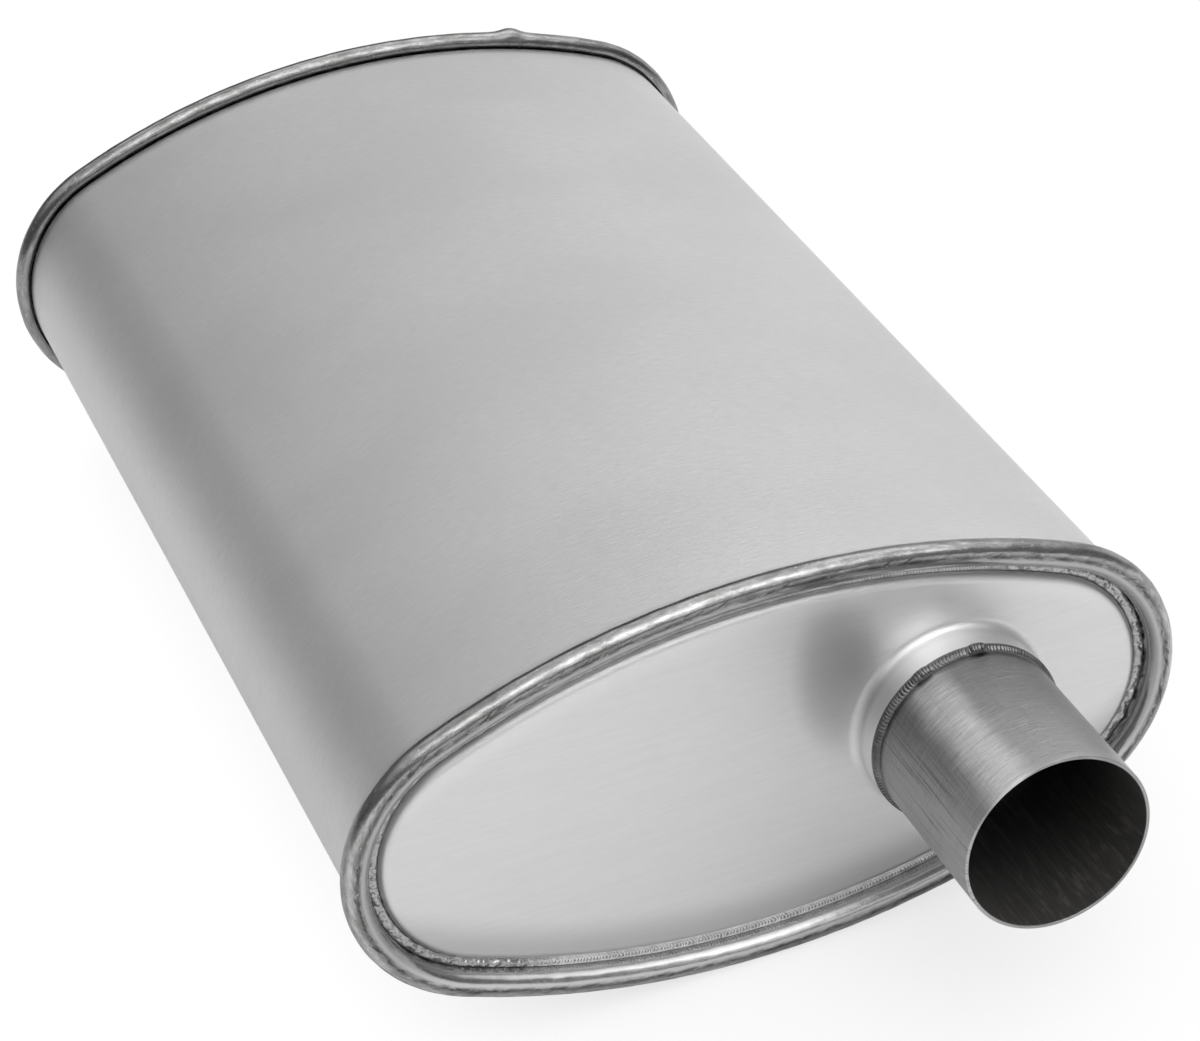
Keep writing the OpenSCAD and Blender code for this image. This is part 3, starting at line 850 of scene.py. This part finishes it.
def make_seam_weld(tree, finish):
    below = SEAM_BEAD_PROUD - SEAM_BEAD_R
    half = math.degrees(math.acos(-below / SEAM_BEAD_R))
    section = bead_of("seam", arc((0, below), SEAM_BEAD_R, 90 - half, 90 + half, 12), [(0, -0.02)])
    reach = SEAM_Y - SEAM_BEAD_END
    ys = np.linspace(-reach, reach, SEAM_BEAD_STEPS)
    foot = np.stack([np.zeros(len(ys)), ys, np.full(len(ys), AXIS_H - CASE_H / 2)], 1) * MM
    out = np.tile([1.0, 0.0, 0.0], (len(ys), 1))
    rise = np.tile([0.0, 0.0, -1.0], (len(ys), 1))
    path = path_of("seam_path", foot, out, rise, (ys + reach) * MM, closed=False)
    made = sweep("shell_seam_weld", tree, path, section, 1e6, **{
        "Finish": finish, "Seed": 31.0,
        "Ripple Height": 0.0001, "Ripple Pitch": 0.0011, "Ripple Bow": 0.0009})
    hand_over(made, "shell_seam_weld")


def make_pipe(name, pipe_x, end, finish, bore):
    inner, seat_inner = PIPE_R - PIPE_T, SEAT_R - PIPE_T
    step_from, edge_from = SEAT_TOP - 0.4, PIPE_REACH - EDGE_R
    outside = chain(
        [(SEAT_R, -PIPE_TAIL)], line((SEAT_R, -PIPE_TAIL + 1), (SEAT_R, step_from), 6),
        line((PIPE_R, SEAT_TOP), (PIPE_R, edge_from), 26),
        arc((PIPE_R - EDGE_R, edge_from), EDGE_R, 0, 90, 4))
    inside = chain(
        arc((inner + EDGE_R, edge_from), EDGE_R, 90, 180, 4),
        line((inner, edge_from - EDGE_R), (inner, SEAT_TOP), 14),
        line((seat_inner, step_from), (seat_inner, -PIPE_TAIL), 10))
    points = chain(outside, inside)
    girth = girth_of(points) + MAP_START
    count, turn = PIPE_STEPS, turns(PIPE_STEPS)
    ring = np.stack([points[:, None, 0] * np.cos(turn) + pipe_x,
                     np.broadcast_to(points[:, None, 1], (len(points), count)),
                     points[:, None, 0] * np.sin(turn)], -1)
    length = 2 * math.pi * PIPE_R
    made = grid_mesh(name, to_case(ring, end),
                     ((np.arange(count) / count * length * MM)[None, :], (girth * MM)[:, None], length))
    made.data.materials.append(finish)
    made.data.materials.append(bore)
    for face in made.data.polygons:
        out = Vector((face.center.x - pipe_x * MM, 0, face.center.z - AXIS_H * MM)).length / MM
        if out < inner + 0.02 or abs(face.center.y) < (SEAM_Y - PIPE_TAIL + 0.5) * MM:
            face.material_index = 1
    hand_over(made, name)


# Studio

def make_floor():
    mesh = bpy.data.meshes.new("floor")
    side = 4.0
    corners = [(-side, -side, 0), (side, -side, 0), (side, side, 0), (-side, side, 0)]
    mesh.from_pydata(corners, [], [(0, 1, 2, 3)])
    floor = add_object("floor", mesh)
    material = bpy.data.materials.new("floor_white")
    g = blank_graph(material)
    seen = g.node("ShaderNodeLightPath", output="Is Camera Ray")
    matt = g.node("ShaderNodeBsdfDiffuse", inputs={"Color": grey(0.86)})
    glow = g.node("ShaderNodeEmission", inputs={"Color": grey(1.0), "Strength": 1.05})
    x, _, _ = object_place(g)
    # lit: how much of the floor the camera sees as white glow; more on the left, painted light that
    # lightens the object's shadow there
    lit = 0.7 + 0.24 * x.ramp(-40.0, -170.0)
    both = g.node("ShaderNodeMixShader", inputs={0: seen * lit, 1: matt, 2: glow})
    g.node("ShaderNodeOutputMaterial", inputs={"Surface": both}, output=None)
    mesh.materials.append(material)


def make_world():
    world = bpy.data.worlds.new("studio")
    bpy.context.scene.world = world
    g = blank_graph(world)
    seen = g.node("ShaderNodeLightPath", output="Is Camera Ray")
    x, y, z = g.parts(g.node("ShaderNodeTexCoord", output="Generated"))
    behind = y.ramp(-0.25, 0.25)
    zenith = z.ramp(0.5, 0.8) * (0.55 + 0.45 * x.ramp(-0.5, 0.3))
    back = 0.14 + 0.1 * x.ramp(-0.2, -0.6) + 0.8 * x.ramp(0.2, 0.65) + 1.5 * zenith
    box = z.ramp(0.14, 0.3) * (x - 0.08).abs().ramp(0.42, 0.22)
    soft = z.ramp(0.55, 0.66) * (y + 0.52).abs().ramp(0.3, 0.2) * (x - 0.13).abs().ramp(0.6, 0.45)
    front = 0.14 + 0.85 * box + 0.92 * z.ramp(0.45, 0.72) + 0.72 * soft
    level = (behind * back + (1.0 - behind) * front) * (1.0 - 0.5 * z.ramp(0.84, 0.95))
    sky = g.node("ShaderNodeBackground", inputs={"Color": grey(1.0), "Strength": level})
    white = g.node("ShaderNodeBackground", inputs={"Color": grey(1.0), "Strength": 1.0})
    both = g.node("ShaderNodeMixShader", inputs={0: seen, 1: sky, 2: white})
    g.node("ShaderNodeOutputWorld", inputs={"Surface": both}, output=None)


def make_lamp(name, place, target, size, power):
    data = bpy.data.lights.new(name, "AREA")
    data.shape, data.size, data.energy = "SQUARE", size, power
    lamp = add_object(name, data)
    lamp.location = place
    lamp.rotation_euler = (Vector(target) - Vector(place)).to_track_quat("-Z", "Y").to_euler()


def make_camera():
    """The camera solved from the photograph's outlines."""
    yaw, pitch, roll = -0.3161, 0.5770, -0.1036
    place = Vector((-333.46, -1084.32, 781.97)) * MM
    ahead = Vector((-math.sin(yaw) * math.cos(pitch), math.cos(yaw) * math.cos(pitch), -math.sin(pitch)))
    level = ahead.cross(Vector((0, 0, 1))).normalized()
    above = level.cross(ahead)
    right = level * math.cos(roll) + above * math.sin(roll)
    up = above * math.cos(roll) - level * math.sin(roll)
    data = bpy.data.cameras.new("camera")
    data.sensor_width, data.sensor_fit, data.lens = 36.0, "HORIZONTAL", 109.57
    data.clip_start, data.clip_end = 0.05, 30.0
    camera = add_object("camera", data)
    turn = Matrix((right, up, -ahead)).transposed().to_4x4()
    camera.matrix_world = Matrix.Translation(place) @ turn
    bpy.context.scene.camera = camera


carry = sweep_tree()
steel_head, steel_pipe, dark_bore = head_finish(), pipe_finish(), bore_finish()
bead_metal, burnt_bead = weld_finish("weld_metal", 0.7, 0.92), weld_finish("burnt_weld", 0.15, 0.24)
make_case(carry)
for name, pipe_x, end in (("inlet", INLET_X, -1), ("outlet", 0.0, 1)):
    make_head(name + "_head", pipe_x, end, steel_head)
    make_head_weld(carry, name + "_head_weld", end, bead_metal)
    make_pipe(name + "_pipe", pipe_x, end, steel_pipe, dark_bore)
    make_pipe_weld(carry, name + "_pipe_weld", pipe_x, end, burnt_bead)
make_seam_weld(carry, bead_metal)

inner, fibre = inner_finish(), fibre_finish()
for name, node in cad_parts.items():
    if name.endswith("_tacks"):
        chosen = bead_metal
    elif name == "fibre_packing":
        chosen = fibre
    elif name.endswith("_baffle") or name.endswith("_tube"):
        chosen = inner
    else:
        continue
    node.data.materials.clear()
    node.data.materials.append(chosen)

make_floor()
make_world()
make_lamp("overhead", (0.1, -0.2, 2.2), (0, 0, 0), 1.6, 6)
make_camera()
bpy.context.scene.view_settings.view_transform = "Standard"
